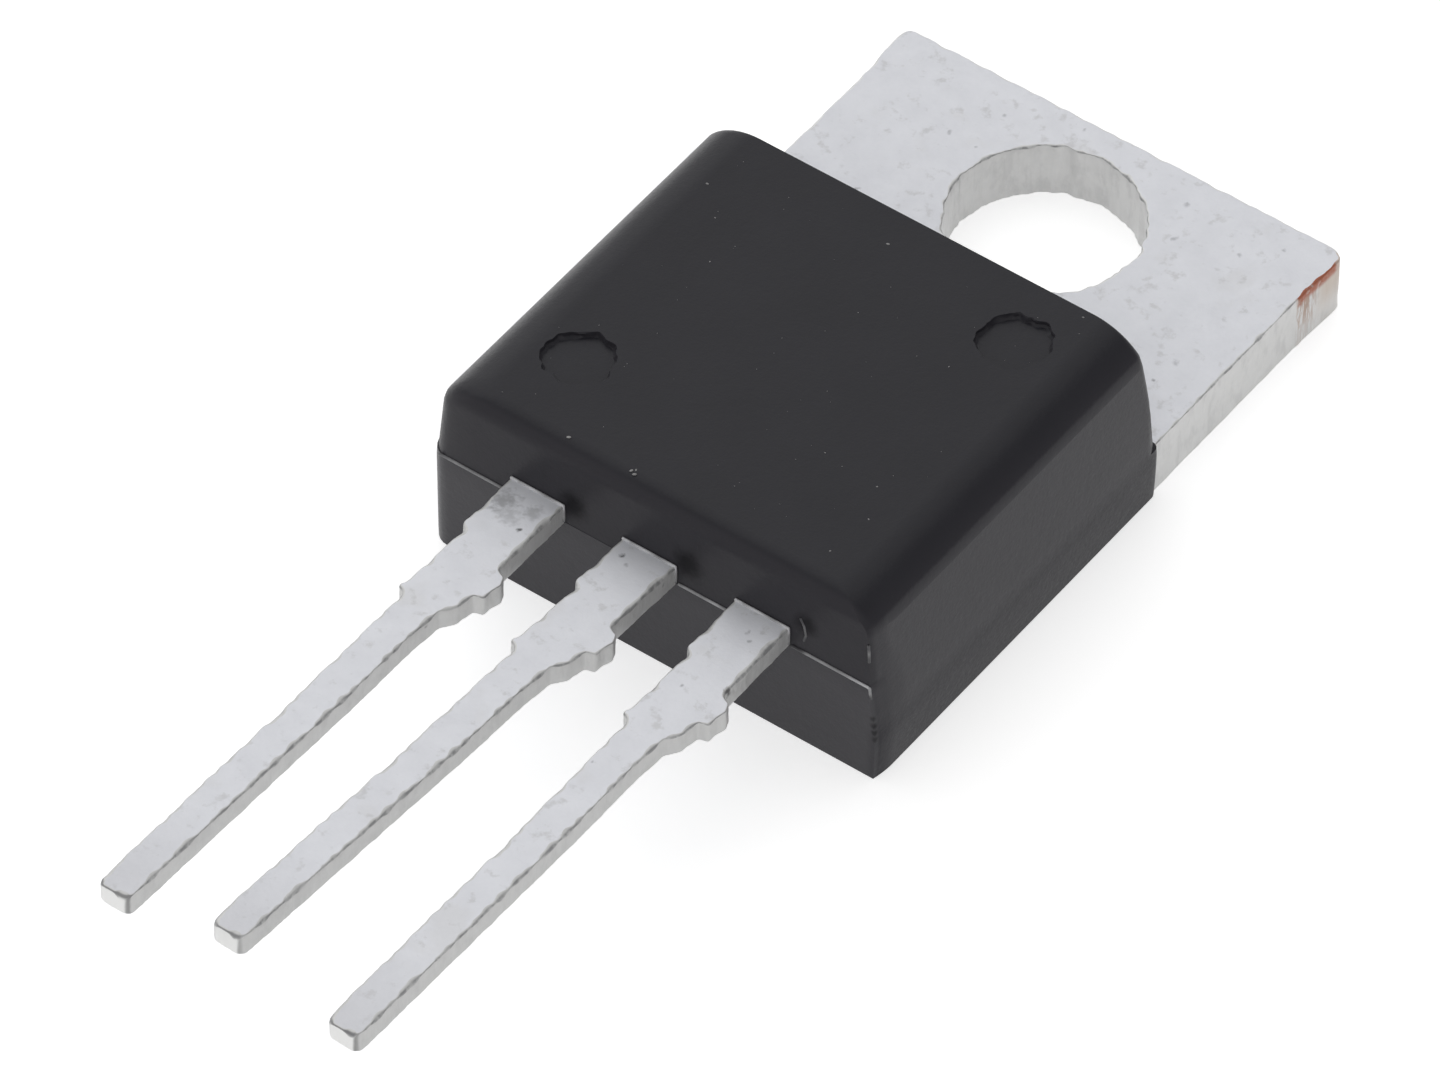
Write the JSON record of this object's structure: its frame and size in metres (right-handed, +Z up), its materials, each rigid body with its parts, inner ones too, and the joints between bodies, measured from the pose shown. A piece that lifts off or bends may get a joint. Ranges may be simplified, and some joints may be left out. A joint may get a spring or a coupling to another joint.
{
  "type": "power transistor",
  "caption": "Moulded power transistor with a tinned mounting tab, a round mounting hole and long straight leads, lying on its tab.",
  "frame": {"origin": "The axis of the mounting hole at the mounting face, which is the underside of the tab.", "axes": "+Z is up out of the tab along the axis of the mounting hole, +Y runs along the part from the tips of the leads to the free end of the tab, and +X is to the right seen from above with the leads toward the viewer."},
  "size_m": [0.0103, 0.0274, 0.0042],
  "materials": {
    "epoxy": "fine matt moulded black epoxy",
    "tinned_copper": "matt tin over stamped copper",
    "silicon": "polished silicon",
    "solder": "dull grey solder",
    "bond_wire": "bright drawn aluminium"
  },
  "bodies": {
    "root": {"moulded_body": "epoxy", "header": "tinned_copper", "base_lead": "tinned_copper", "emitter_lead": "tinned_copper", "silicon_die": "silicon", "die_solder": "solder", "base_wire": "bond_wire", "emitter_wire": "bond_wire"}
  },
  "joints": []
}
